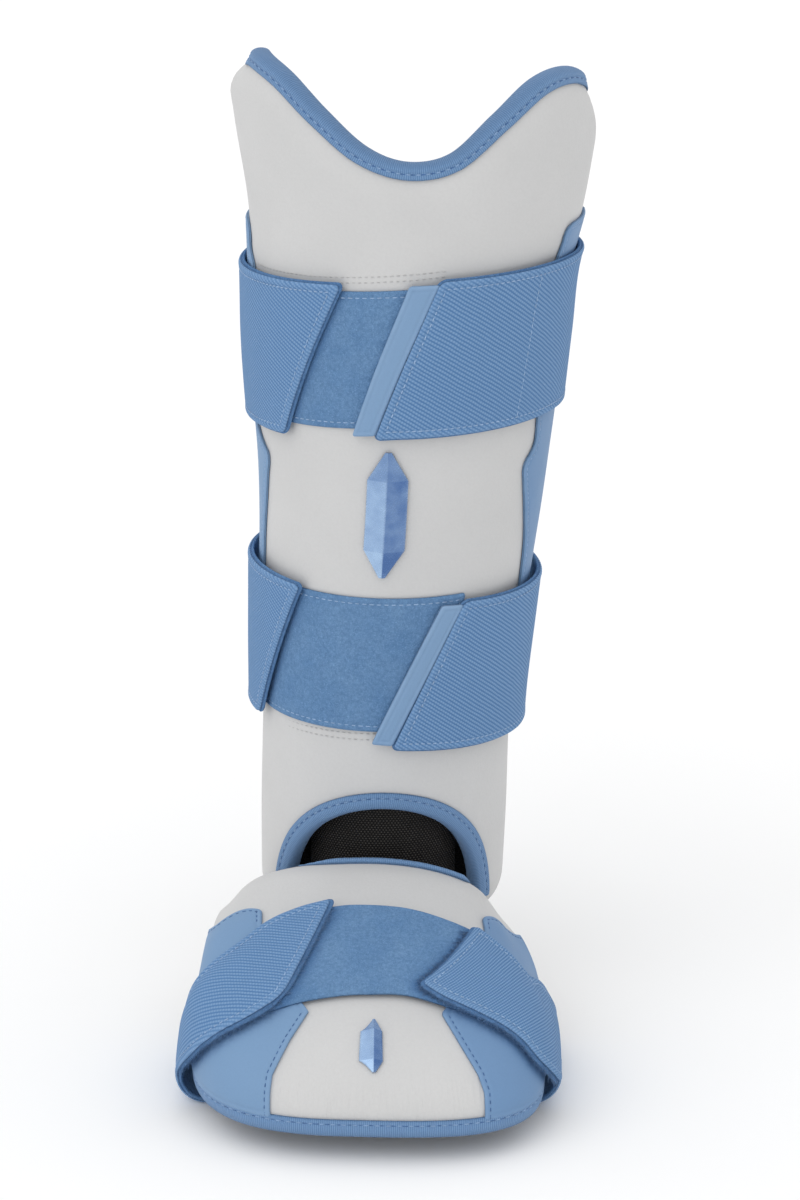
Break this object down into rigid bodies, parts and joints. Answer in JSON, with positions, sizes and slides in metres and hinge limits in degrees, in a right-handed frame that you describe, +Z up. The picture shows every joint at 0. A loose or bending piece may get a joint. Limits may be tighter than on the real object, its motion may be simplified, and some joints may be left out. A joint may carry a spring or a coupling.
{
  "type": "batter's ankle and shin guard",
  "caption": "Padded leather lower-leg guard for a batter: dipped shin shell, arched ankle cut-out with woven tongue, instep dome and wide hook-and-loop straps.",
  "frame": {"origin": "centre of the wearer's ankle, 75 mm above the underside of the sole strap, where the leg goes through the guard", "axes": "+Z up along the leg, the front of the shin and the toe face -Y, +X to the right seen from the front"},
  "size_m": [0.1484, 0.227, 0.3705],
  "materials": {
    "grey_leather": "fine grain, matte",
    "blue_leather": "smooth, satin",
    "webbing": "ribbed elastic webbing",
    "loop_pile": "fuzzy loop pile",
    "binding_tape": "ribbed grosgrain tape",
    "nylon": "ballistic-weave nylon",
    "badge": "moulded, metallic gloss"
  },
  "bodies": {
    "root": {"shin_shell": "grey_leather", "foot_shell": "grey_leather", "top_binding": "binding_tape", "arch_binding": "binding_tape", "toe_binding": "binding_tape", "instep_binding": "binding_tape", "wing_left": "blue_leather", "wing_right": "blue_leather", "foot_panel_left": "blue_leather", "foot_panel_right": "blue_leather", "upper_tab": "blue_leather", "lower_tab": "blue_leather", "upper_loop": "loop_pile", "lower_loop": "loop_pile", "foot_loop": "loop_pile", "upper_strap": "webbing", "lower_strap": "webbing", "foot_strap": "webbing", "shin_badge": "badge", "foot_badge": "badge", "ankle_tongue": "nylon"}
  },
  "joints": []
}
